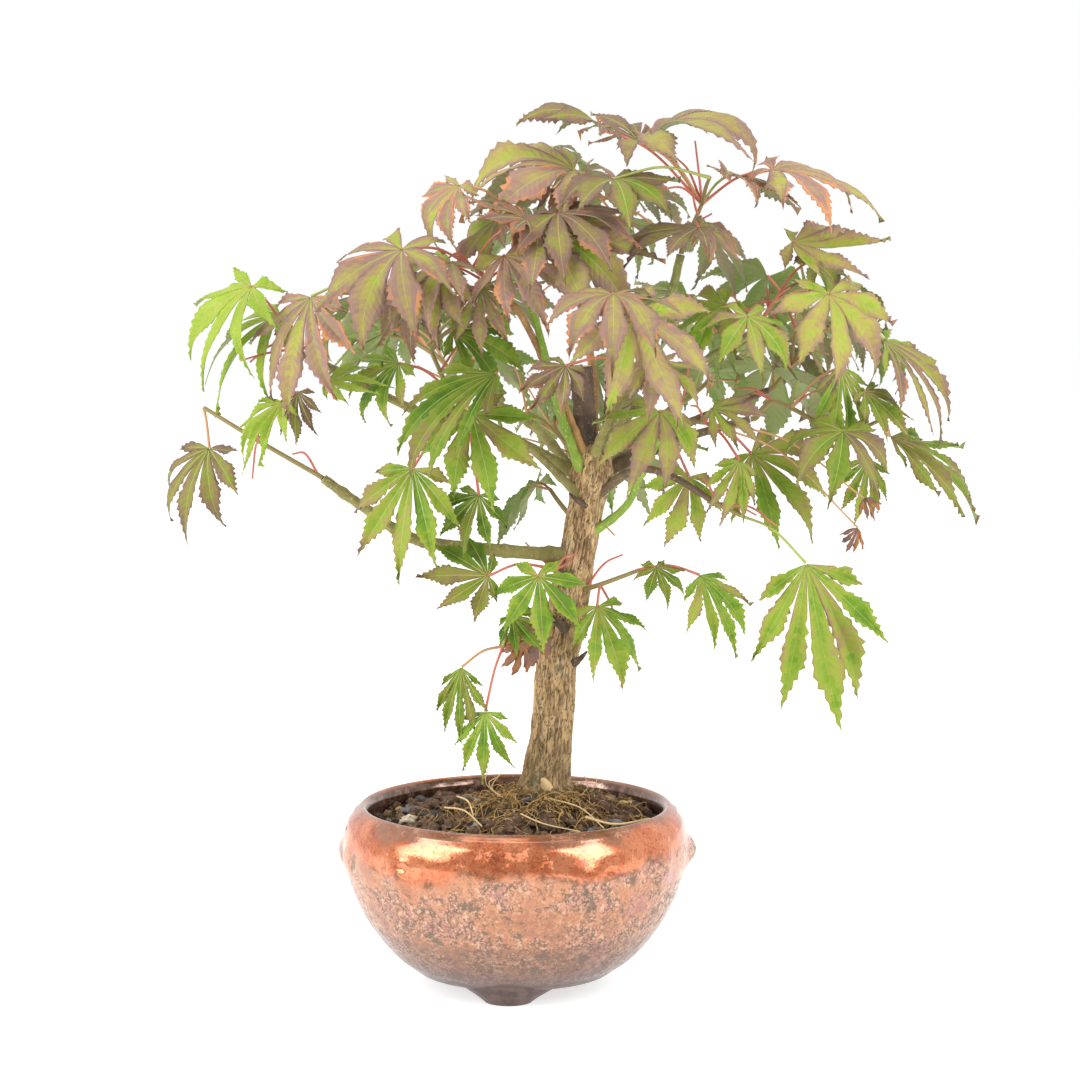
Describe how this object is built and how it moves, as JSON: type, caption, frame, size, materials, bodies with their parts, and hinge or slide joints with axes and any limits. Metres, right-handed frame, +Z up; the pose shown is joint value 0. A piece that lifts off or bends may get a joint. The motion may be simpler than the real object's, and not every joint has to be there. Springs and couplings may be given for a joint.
{
  "type": "bonsai maple in a bowl pot",
  "caption": "Small bonsai maple with hanging lobed leaves, green turning bronze, in a round copper-glazed bowl pot on short feet.",
  "frame": {"origin": "on the standing surface, under the middle of the whole plant's bounding box; the pot's own axis is 20.0 mm to the left of it and 15.6 mm in front", "axes": "+Z up, +X to the right and -Y to the front; the height is the longest extent"},
  "size_m": [0.288, 0.198, 0.3025],
  "materials": {
    "copper_glaze": "glossy mottled copper glaze",
    "soil": "coarse moist grit and root fibre",
    "bark": "matt fissured bark",
    "green_wood": "smooth young green bark",
    "leaf_green": "satin leaf",
    "leaf_bronze": "satin leaf with a bronze tint"
  },
  "bodies": {
    "root": {"pot": "copper_glaze", "soil": "soil", "trunk": "bark", "leader_stub": "bark", "dead_stub": "bark", "bough_green": "green_wood", "bough_left_shoot": "green_wood", "bough_left_long": "bark", "bough_left_up": "bark", "bough_brown": "bark", "bough_low_left": "bark", "bough_right_dark": "bark", "bough_right_low": "bark", "bough_right_up": "bark", "bough_green_low": "green_wood", "bough_front": "bark", "bough_back_left": "bark", "bough_back_right": "bark", "bough_back_high": "bark", "bough_back_far": "bark", "bough_back_low": "bark", "leaves_top": "leaf_bronze", "leaves_crown_left": "leaf_bronze", "leaves_drape": "leaf_bronze", "leaves_left_mid": "leaf_green", "leaves_far_left": "leaf_green", "leaves_low_left": "leaf_green", "leaves_trunk_left": "leaf_green", "leaves_trunk_front": "leaf_green", "leaves_trunk_right": "leaf_green", "leaves_right_low": "leaf_green", "leaves_right_fold": "leaf_green", "leaves_right": "leaf_green", "leaves_right_upper": "leaf_green", "leaves_front": "leaf_bronze", "leaves_back_left": "leaf_green", "leaves_back_right": "leaf_green", "leaves_back_high": "leaf_green", "leaves_back_far": "leaf_green", "leaves_back_low": "leaf_green", "leaves_trunk_back": "leaf_green"}
  },
  "joints": []
}
